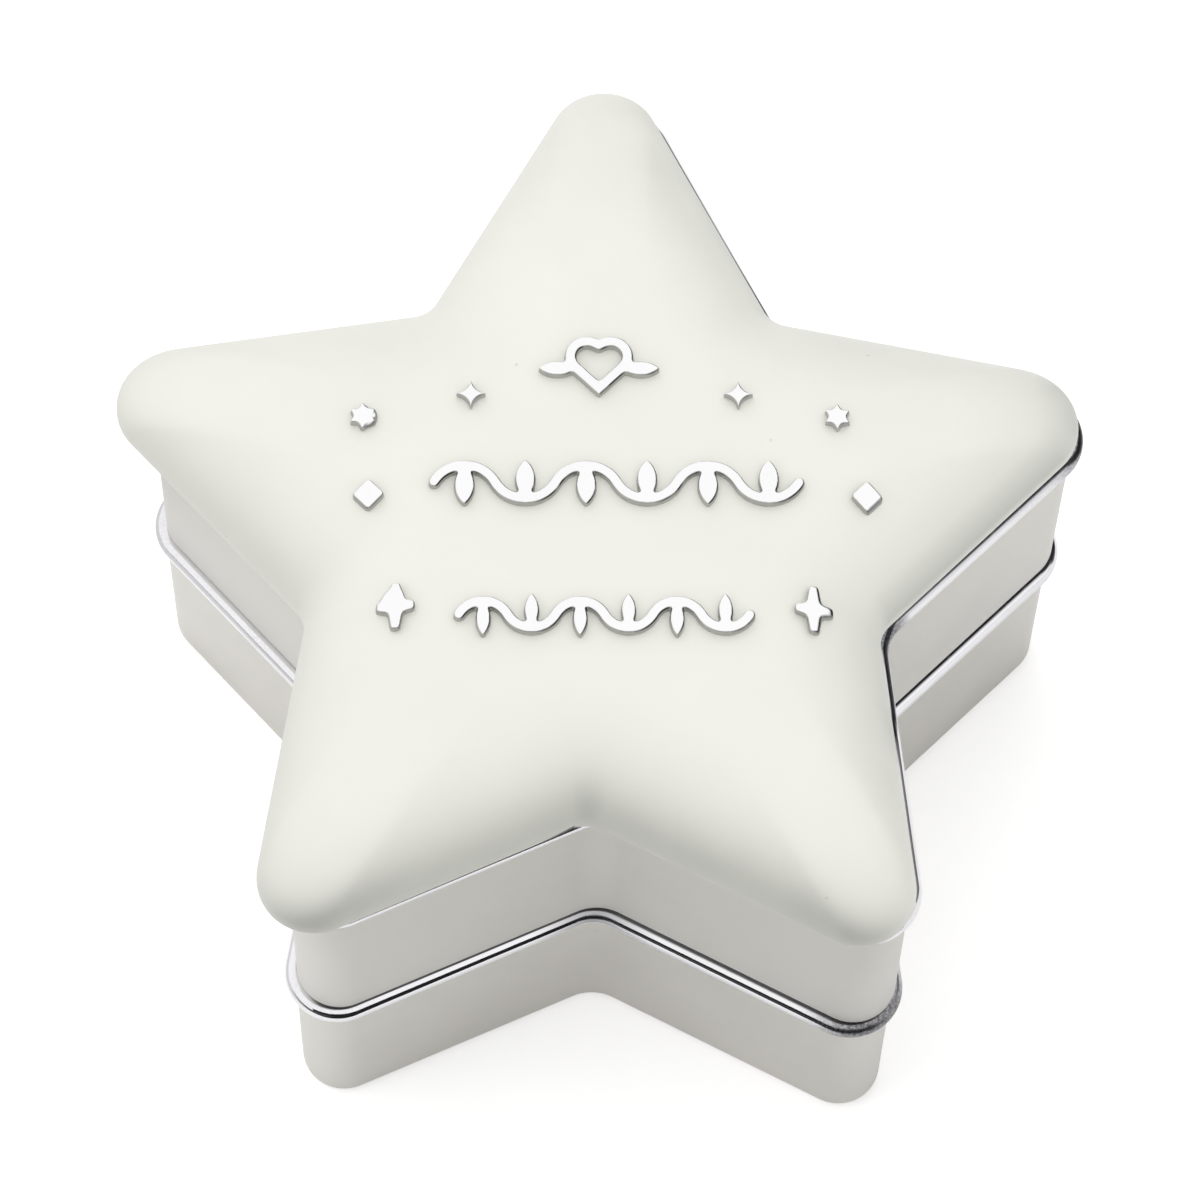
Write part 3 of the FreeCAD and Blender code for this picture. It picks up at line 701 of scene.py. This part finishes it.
# painted shade on the lid: round the foot of the lip, a shadow wedge by the front hollow, and a darkening
# above the lip by facing
def lidPaintedShade(outside, z, facing, angle):
    gapShadow = np.interp(angle, *lid["gapShadow"])
    shadeTop = lidBottom + lid["shadeRise"] + lid["gapShadowRise"] * gapShadow
    seamed = np.clip((shadeTop - z) / tray["shadeFade"], 0, 1)
    seamed *= np.maximum(lid["shadeLeast"] + (1 - lid["shadeLeast"]) * facing, gapShadow)
    edgeShaded = np.interp(facing, *lid["edgeShade"]) * np.interp(z - lidBottom, lid["edgeShadeBand"], (0, 1, 0))
    return np.maximum(seamed, edgeShaded)


addShadeAndWear(dome, lidCentre, lidPaintedShade)
finishPiece(dome, "lid", "satin_plate", lidSatin, "lid_dome")

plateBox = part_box("lid_closing_plate")
plateOutside = lid["overhang"] - lid["thickness"] - lid["plateGap"]
profile = [(plateOutside - locating["edge"], plateBox[0].z), (plateOutside, plateBox[0].z + locating["edge"]),
           (plateOutside, plateBox[1].z)]
plate = starPiece("lid_plate", profile, lidCentre, lid["turn"])
finishPiece(plate, "lid", "satin_plate", shadedSatin, "lid_closing_plate")
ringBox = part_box("lid_locating_ring")
profile = ringProfile(-tray["wall"] - locating["lidPlay"], locating["lidThickness"],
                      ringBox[0].z, ringBox[1].z)
ring = starPiece("lid_ring", profile, lidCentre, lid["turn"], closed=True)
finishPiece(ring, "lid", "satin_plate", shadedSatin, "lid_locating_ring")


# height of the lid's outside over points given from its centre
def domeHeight(points):
    points = turned(points, -lid["turn"])
    heights = np.full(len(points), lipTop)
    before = None
    for turn in np.linspace(0, math.pi / 2, lid["heightSteps"]):
        offset, height, tip, hollow = domeSection(turn)
        outside = starDistance(points, offset, tip, hollow)
        if before is not None:
            crossing = (before[0] <= 0) & (outside > 0)
            share = -before[0] / np.where(crossing, outside - before[0], 1)
            heights = np.where(crossing, before[1] + (height - before[1]) * share, heights)
        heights = np.where(outside <= 0, height, heights)
        before = (outside, height)
    return heights


print("lid ready")

# raised ornaments: outlines in millimetres round their own centres, softened as castings are
# and laid on the dome
relief = {
    "height": 0.66,
    "root": 0.5,                # depth inside the lid
    "foot": 0.1,                # how far a foot spreads beyond the outline
    "grid": 0.065,
    "softening": 70,            # rounds of smoothing, and the share of each
    "softShare": 0.5,
    "unevenness": 0.02,
    "bumpScale": 1.3,
    "steep": (0.45, 0.86),      # upright share of the normal, from the satin sides, which are painted in shade, to the polished top
    "edgeSlope": (0.1, 0.3, 0.78, 0.88),    # the same for the rounded edge, painted dark on the right as a reflection
    "edgeStart": 0.15,          # share of the normal towards the right where that begins
    "edgeChange": 0.3,
    "edgeLeast": 1.0,           # added to the bumps, which thin it here and there
    "turn": math.radians(1.8),  # they are set on slightly askew
    "stroke": 0.8,
}
sideMotifs = {
    "four_point_star": {"reach": 1.16, "side": 1.3},
    "six_point_star": {"reach": 1.12, "waist": 0.64},
    "diamond": {"reach": 1.22, "round": 0.15},
    "cross_star": {"reach": 1.42, "height": 1.87, "waist": 0.54, "end": 0.32},
}
heart = {"side": 2.9, "leaf": 2.5}
vines = {
    "middle_ornament": {"wave": 9.0, "leaf": 3.2},
    "lower_ornament": {"wave": 7.1, "leaf": 2.8},
}
vineForm = {"waves": 3, "bend": math.radians(62), "leafSide": 2.1}
outlineSteps = {"starSide": 10, "diamondCorner": 5, "leafSide": 12, "heartSide": 14, "heartLobe": 24,
                "vineBend": 20, "vineEnd": 16}


def polar(distance, degrees):
    return distance * math.cos(math.radians(degrees)), distance * math.sin(math.radians(degrees))


def fourStarOutline(sizes):
    depth = (sizes["reach"] + math.sqrt(2 * sizes["side"] ** 2 - sizes["reach"] ** 2)) / 2
    swing = math.asin((depth - sizes["reach"]) / sizes["side"])
    sides = []
    for quarter in range(4):
        diagonal = math.radians(45 + 90 * quarter)
        centre = (depth * math.sqrt(2) * math.cos(diagonal), depth * math.sqrt(2) * math.sin(diagonal))
        start = diagonal + math.radians(225) - swing
        end = start - math.pi / 2 + 2 * swing
        sides.append(arcPoints(centre, sizes["side"], start, end, outlineSteps["starSide"])[:-1])
    return np.vstack(sides)


def sixStarOutline(sizes):
    distances = (sizes["reach"], sizes["waist"])
    return np.array([polar(distances[corner % 2], 90 + 30 * corner) for corner in range(12)])


def diamondOutline(sizes):
    corners = []
    for corner in range(4):
        centre = polar(sizes["reach"] - sizes["round"] * math.sqrt(2), 90 * corner)
        axis = math.radians(90 * corner)
        corners.append(arcPoints(centre, sizes["round"], axis - math.pi / 4, axis + math.pi / 4,
                                 outlineSteps["diamondCorner"]))
    return np.vstack(corners)


def crossOutline(sizes):
    points = []
    for right, up in ((1, 1), (-1, 1), (-1, -1), (1, -1)):
        corner = [(right * sizes["reach"], up * sizes["end"]), (right * sizes["waist"], up * sizes["waist"]),
                  (right * sizes["end"], up * sizes["height"])]
        points += corner if right * up > 0 else corner[::-1]
    return np.array(points)


def leafOutline(root, tip):
    root = np.array(root)
    tip = np.array(tip)
    half = np.linalg.norm(tip - root) / 2
    along = (tip - root) / (2 * half)
    across = np.array((-along[1], along[0]))
    radius = vineForm["leafSide"]
    back = across * math.sqrt(radius ** 2 - half ** 2)
    swing = math.asin(half / radius)
    middle = (root + tip) / 2
    heading = math.atan2(across[1], across[0])
    sides = []
    for centre, axis in ((middle - back, heading), (middle + back, heading + math.pi)):
        sides.append(arcPoints(centre, radius, axis - swing, axis + swing, outlineSteps["leafSide"])[:-1])
    return np.vstack(sides)


# both edges of a line of even width
def strokeOutline(path, width):
    steps = np.gradient(path, axis=0)
    steps /= np.linalg.norm(steps, axis=1)[:, None]
    aside = np.column_stack((-steps[:, 1], steps[:, 0])) * width / 2
    return np.vstack((path - aside, (path + aside)[::-1]))


def heartPath(side):
    reach = side * math.cos(math.radians(45))
    rise = np.linspace((0, 0), (reach, reach), outlineSteps["heartSide"])[:-1]
    right = arcPoints((reach / 2, 1.5 * reach), side / 2, math.radians(-45), math.radians(135),
                      outlineSteps["heartLobe"])
    left = right[::-1] * (-1, 1)
    return np.vstack((rise, right, left[1:], rise[::-1] * (-1, 1)))


def outlinesOfHeart(sizes):
    inner = sizes["side"] - relief["stroke"] / 2
    path = heartPath(inner) + (0, relief["stroke"] / 2)
    middle = sizes["side"] * math.cos(math.radians(45))
    corner = relief["stroke"] * math.sqrt(0.5)
    outlines = [strokeOutline(path, relief["stroke"])]
    outlines.append(np.array([(0, -corner), (corner, 0), (0, corner), (-corner, 0)]) + path[0])
    leafRoot = middle - relief["stroke"] / 2
    leafTip = middle + sizes["leaf"]
    for way in (-1, 1):
        outlines.append(leafOutline((way * leafRoot, middle), (way * leafTip, middle)))
    return outlines


def outlinesOfVine(sizes):
    radius = sizes["wave"] / 4 / math.sin(vineForm["bend"])
    rise = radius * (1 - math.cos(vineForm["bend"]))
    halves = 2 * vineForm["waves"]
    path = []
    outlines = []
    for half in range(halves):
        up = 1 if half % 2 == 0 else -1
        middle = (half - vineForm["waves"] + 0.5) * sizes["wave"] / 2
        centre = (middle, up * (rise - radius))
        top = math.pi / 2 * up
        start = top + up * vineForm["bend"]
        end = start - 2 * up * vineForm["bend"]
        path.append(arcPoints(centre, radius, start, end, outlineSteps["vineBend"])[:-1])
        outlines.append(leafOutline((middle, up * rise), (middle, up * (rise - sizes["leaf"]))))
    path.append(np.array([(halves / 2 * sizes["wave"] / 2, 0)]))
    path = np.vstack(path)
    for end in (path[0], path[-1]):
        outlines.append(arcPoints(end, relief["stroke"] / 2, 0, 2 * math.pi, outlineSteps["vineEnd"])[:-1])
    return [strokeOutline(path, relief["stroke"])] + outlines


# metal that ran between the points of two castings: its outline and share of the height
runs = {
    "six_point_star_left": {
        "outline": [(-0.1, -1.1), (0.95, -0.6), (1.1, 0.1), (0.95, 0.6), (0.1, 0.9), (0.0, 0.0)],
        "height": 0.7,
    },
    "cross_star_left": {
        "outline": [(-1.25, -0.1), (0.6, -0.1), (0.72, 0.5), (0.6, 1.0), (0.35, 1.5), (0.0, 1.75),
                    (-0.4, 1.5), (-0.8, 1.1), (-1.05, 0.7), (-1.25, 0.3)],
        "height": 1.0,
    },
}


# a block with slightly slanting sides under each outline
def blocks(outlines, heights):
    points = []
    faces = []
    for outline, height in zip(outlines, heights):
        count = len(outline)
        first = len(points)
        steps = np.roll(outline, -1, axis=0) - np.roll(outline, 1, axis=0)
        steps /= np.maximum(np.linalg.norm(steps, axis=1), tiny)[:, None]
        outward = np.column_stack((steps[:, 1], -steps[:, 0]))
        points += [(x, y, -relief["root"]) for x, y in outline + outward * relief["foot"]]
        points += [(x, y, height) for x, y in outline]
        faces.append(tuple(first + i for i in range(count))[::-1])
        faces.append(tuple(first + count + i for i in range(count)))
        for i in range(count):
            j = (i + 1) % count
            faces.append((first + i, first + j, first + count + j, first + count + i))
    return points, faces


# the blocks under one soft skin
def softSkin(node, outlines):
    heights = [relief["height"]] * len(outlines)
    if node in runs:
        outlines = outlines + [np.array(runs[node]["outline"])]
        heights.append(relief["height"] * runs[node]["height"])
    rough = newMesh(node + "_rough", *blocks(outlines, heights))
    grid = rough.modifiers.new("grid", "REMESH")
    grid.mode = "VOXEL"
    grid.voxel_size = relief["grid"]
    soft = rough.modifiers.new("soft", "SMOOTH")
    soft.factor = relief["softShare"]
    soft.iterations = relief["softening"]
    ready = rough.evaluated_get(bpy.context.evaluated_depsgraph_get())
    mesh = bpy.data.meshes.new_from_object(ready)
    bpy.data.objects.remove(rough)
    return mesh


def makeRelief(node, outlines, centre):
    mesh = softSkin(node, outlines)
    points = meshPoints(mesh)
    bumps = np.array([noise.noise(Vector(point * relief["bumpScale"])) for point in points])
    points[:, 2] += relief["unevenness"] * (bumps - 1) * (points[:, 2] > 0)
    flat = turned(points[:, :2], relief["turn"]) * mm + centre
    heights = domeHeight(flat - lidCentre) + mm * points[:, 2]
    mesh.vertices.foreach_set("co", np.column_stack((flat, heights)).ravel())
    mesh.update()
    normals = np.zeros(len(mesh.vertices) * 3)
    mesh.vertex_normals.foreach_get("vector", normals)
    upright = normals[2::3]
    # painted shade: the steep sides take the darker unpolished colour
    steepEnd, flatStart = relief["steep"]
    setMask(mesh, "shadeAndWear", (flatStart - upright) / (flatStart - steepEnd))
    # painted reflection: the rounded edge is darkened on its right-hand side
    sloping = np.interp(upright, relief["edgeSlope"], (0, 1, 1, 0))
    facing = np.clip((normals[0::3] - relief["edgeStart"]) / relief["edgeChange"], 0, 1)
    setMask(mesh, "edge", sloping * facing * np.clip(relief["edgeLeast"] + bumps, 0, 1))
    mesh.name = node + "_casting"
    mesh.shade_smooth()
    piece = bpy.data.objects.new(node + "_casting", mesh)
    bpy.context.scene.collection.objects.link(piece)
    finishPiece(piece, "lid", "polished_plate", reliefPolish, node)


def middleOf(node):
    low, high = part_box(node)
    return (low.x + high.x) / 2, (low.y + high.y) / 2


outlineOf = {"four_point_star": fourStarOutline, "six_point_star": sixStarOutline,
             "diamond": diamondOutline, "cross_star": crossOutline}
for motif, sizes in sideMotifs.items():
    for side in ("left", "right"):
        makeRelief(f"{motif}_{side}", [outlineOf[motif](sizes)], middleOf(f"{motif}_{side}"))
heartMiddle = middleOf("upper_ornament")
makeRelief("upper_ornament", outlinesOfHeart(heart), (heartMiddle[0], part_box("upper_ornament")[0].y))
for node, sizes in vines.items():
    makeRelief(node, outlinesOfVine(sizes), middleOf(node))
print("ornaments ready")

# velvet pads on the tray floors and felt under the base
pad = {
    "edge": -1.1 * mm,          # offset of the pad's side
    "under": 0.15 * mm,         # the side draws in below
    "shoulder": 1.6 * mm,       # width of the rounded edge
    "sideShare": 0.3,           # share of the height below the rounded edge, and where the top begins
    "topShare": 0.95,
    "dip": 0.16 * mm,           # edge of the crown below its middle
    "waves": 0.05 * mm,
    "waveScale": 260,
    "edgeSteps": 8,
    "capSteps": 24,
}
baseFelt = {"edge": -1.0 * mm, "round": 0.25 * mm, "roundSteps": 4, "capSteps": 16}


def makeLining(which):
    node = f"{which}_tray_lining"
    low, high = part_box(node)
    rise = high.z - low.z - pad["dip"]
    side = pad["sideShare"]
    profile = [(pad["edge"] - pad["under"], low.z), (pad["edge"], low.z + side * rise)]
    for turn in np.linspace(0, math.pi / 2, pad["edgeSteps"] + 1)[1:]:
        inset = pad["shoulder"] * (1 - math.cos(turn))
        profile.append((pad["edge"] - inset, low.z + rise * (side + (1 - side) * math.sin(turn))))
    piece = starPiece(f"{which}_tray_velvet", profile, trayCentre[which], capSteps=pad["capSteps"])
    mesh = piece.data
    points = meshPoints(mesh)
    onTop = points[:, 2] > low.z + pad["topShare"] * rise
    centre = trayCentre[which]
    away = np.hypot(points[:, 0] - centre[0], points[:, 1] - centre[1]) / star["reach"]
    crown = pad["dip"] * np.clip(1 - away ** 2, 0, 1)
    waves = pad["waves"] * np.array([noise.noise(Vector(point * pad["waveScale"])) for point in points])
    points[:, 2] += np.where(onTop, np.minimum(crown + waves * np.clip(away, 0, 1), pad["dip"]), 0)
    mesh.vertices.foreach_set("co", points.ravel())
    mesh.update()
    finishPiece(piece, f"{which}_tray", "velvet", velvet, node)


for which in ("lower", "upper"):
    makeLining(which)
low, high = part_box("base_felt")
edge = baseFelt["round"]
profile = roundCorner(baseFelt["edge"] - edge, low.z + edge, edge, -90, 0, baseFelt["roundSteps"])
profile += roundCorner(baseFelt["edge"] - edge, high.z - edge, edge, 0, 90, baseFelt["roundSteps"])
feltPiece = starPiece("base_felt_pad", profile, trayCentre["lower"], capSteps=baseFelt["capSteps"])
finishPiece(feltPiece, "lower_tray", "felt", felt, "base_felt")
print("linings ready")

# floor, light and camera
studio = {
    "floorSize": 6.0,
    "floorDrop": 0.02 * mm,
    "floorColour": (0.92, 0.92, 0.92, 1),
    "floorLift": 0.09,          # for all that sees the floor, and more for the camera
    "cameraLift": 0.35,
    "worldForObject": 0.45,     # strength of the white room as light; it is seen as 1
    "lampAim": (0, 0, 0.03),
    "key": {"place": (-0.17, 0.18, 0.80), "size": 0.8, "power": 4.2},
    "fill": {"place": (-0.7, -0.25, 0.45), "size": 0.5, "power": 1.0},
    "cardHeight": 0.4 * mm,
}
# cards that the metal mirrors: some lie just outside the picture, those with a top stand at the ends of them
cards = {
    "front": {"outline": [(-0.05, -0.50), (0.50, -0.50), (0.50, -0.36), (0.10, -0.07), (-0.05, -0.07)],
              "grey": 0.02},
    "frontLeft": {"outline": [(-0.40, -0.50), (-0.05, -0.50), (-0.05, -0.07), (-0.40, -0.07)], "grey": 0.09},
    "right": {"outline": [(0.12, 0.02), (0.50, 0.02), (0.50, 0.50), (0.12, 0.50)], "grey": 0.15},
    "left": {"outline": [(-0.40, -0.07), (-0.052, -0.07), (-0.052, 0.30), (-0.40, 0.30)], "grey": 0.7},
    "frontEnd": {"outline": [(-0.40, -0.50), (0.50, -0.50)], "top": 0.18, "grey": 0.02},
    "rightEnd": {"outline": [(0.50, 0.02), (0.50, 0.50)], "top": 0.18, "grey": 0.3},
    "backEnd": {"outline": [(0.50, 0.50), (-0.05, 0.50)], "top": 0.18, "grey": 0.6},
}
photoView = {
    "target": (-0.363 * mm, 4.164 * mm, 20.0 * mm),
    "distance": 460.4 * mm,
    "azimuth": math.radians(-0.02),
    "elevation": math.radians(65.93),
    "roll": math.radians(1.73),
    "lens": 175.6,
    "sensor": 36.0,
    "clip": (0.01, 20.0),
}


# what the camera sees directly or in a shiny surface
def seenRays(tree):
    path = tree.nodes.new("ShaderNodeLightPath").outputs
    seen = mathNode(tree, "MAXIMUM", path["Is Camera Ray"], path["Is Glossy Ray"])
    return mathNode(tree, "MAXIMUM", seen, path["Is Transmission Ray"])


def mattMaterial(name, colour):
    material, tree, shader = newMaterial(name)
    shader.inputs["Base Color"].default_value = colour
    shader.inputs["Roughness"].default_value = 1.0
    shader.inputs["Specular IOR Level"].default_value = 0.0
    return material, tree, shader


def makeFloor():
    half = studio["floorSize"] / 2
    corners = [(-half, -half, 0), (half, -half, 0), (half, half, 0), (-half, half, 0)]
    floor = newMesh("floor", corners, [(0, 1, 2, 3)])
    floor.location.z = -studio["floorDrop"]
    material, tree, shader = mattMaterial("floor_paper", studio["floorColour"])
    shader.inputs["Emission Color"].default_value = (1, 1, 1, 1)
    lift = mathNode(tree, "MULTIPLY", seenRays(tree), studio["floorLift"])
    camera = tree.nodes.new("ShaderNodeLightPath").outputs["Is Camera Ray"]
    lift = mathNode(tree, "ADD", lift, mathNode(tree, "MULTIPLY", camera, studio["cameraLift"]))
    tree.links.new(lift, shader.inputs["Emission Strength"])
    floor.data.materials.append(material)


def makeWorld():
    world = bpy.data.worlds.new("white_room")
    world.use_nodes = True
    tree = world.node_tree
    tree.nodes.clear()
    back = tree.nodes.new("ShaderNodeBackground")
    output = tree.nodes.new("ShaderNodeOutputWorld")
    tree.links.new(back.outputs[0], output.inputs["Surface"])
    back.inputs["Color"].default_value = (1, 1, 1, 1)
    strength = rangeNode(tree, seenRays(tree), 0.0, 1.0, studio["worldForObject"], 1.0)
    tree.links.new(strength, back.inputs["Strength"])
    bpy.context.scene.world = world


def makeLamp(name):
    settings = studio[name]
    data = bpy.data.lights.new(name + "_lamp", "AREA")
    data.shape = "DISK"
    data.size = settings["size"]
    data.energy = settings["power"]
    lamp = bpy.data.objects.new(name + "_lamp", data)
    lamp.location = settings["place"]
    lamp.visible_glossy = False         # metal shows the white room, not the lamps
    aim = Vector(studio["lampAim"]) - lamp.location
    lamp.rotation_euler = aim.to_track_quat("-Z", "Y").to_euler()
    bpy.context.scene.collection.objects.link(lamp)


def makeCard(name):
    settings = cards[name]
    low = studio["cardHeight"]
    corners = [(x, y, low) for x, y in settings["outline"]]
    if "top" in settings:
        corners += [(x, y, settings["top"]) for x, y in reversed(settings["outline"])]
    card = newMesh(name + "Card", corners, [tuple(range(len(corners)))])
    grey = settings["grey"]
    card.data.materials.append(mattMaterial(name + "_card", (grey, grey, grey, 1))[0])
    card.visible_camera = False
    card.visible_shadow = False
    card.visible_diffuse = False


def makeCamera():
    data = bpy.data.cameras.new("photo_camera")
    data.sensor_width = photoView["sensor"]
    data.lens = photoView["lens"]
    data.clip_start, data.clip_end = photoView["clip"]
    camera = bpy.data.objects.new("photo_camera", data)
    azimuth = photoView["azimuth"]
    elevation = photoView["elevation"]
    back = Vector((math.sin(azimuth) * math.cos(elevation), -math.cos(azimuth) * math.cos(elevation),
                   math.sin(elevation)))
    place = Vector(photoView["target"]) + back * photoView["distance"]
    level = (-back).to_track_quat("-Z", "Y").to_matrix().to_4x4()
    camera.matrix_world = Matrix.Translation(place) @ level @ Matrix.Rotation(photoView["roll"], 4, "Z")
    bpy.context.scene.collection.objects.link(camera)
    bpy.context.scene.camera = camera


makeFloor()
makeWorld()
for lampName in ("key", "fill"):
    makeLamp(lampName)
for cardName in cards:
    makeCard(cardName)
makeCamera()
bpy.context.scene.view_settings.view_transform = "Standard"
print("studio ready")
